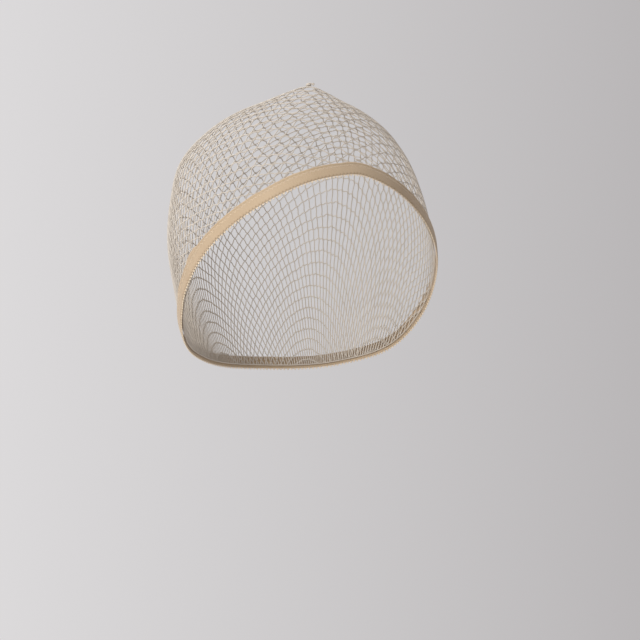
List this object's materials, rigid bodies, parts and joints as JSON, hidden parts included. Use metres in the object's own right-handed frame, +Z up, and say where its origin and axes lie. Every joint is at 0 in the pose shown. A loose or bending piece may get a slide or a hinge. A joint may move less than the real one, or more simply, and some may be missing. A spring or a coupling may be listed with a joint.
{
  "type": "hairnet",
  "caption": "Worn hairnet: a domed open net with a small tied peak, held round forehead and nape by a tan elastic band with a lapped end.",
  "frame": {"origin": "inside of the net under its peak, where the top of the wearer's head sits", "axes": "+Z up out of the peak, -Y towards the wearer's face, +X towards the wearer's left"},
  "size_m": [0.1609, 0.1785, 0.1744],
  "materials": {
    "net_yarn": "matte soft knotted yarn",
    "band_elastic": "matte ribbed woven elastic"
  },
  "bodies": {
    "root": {"net_crown": "net_yarn", "elastic_band": "band_elastic", "band_lap": "band_elastic", "crown_knot": "net_yarn"}
  },
  "joints": []
}
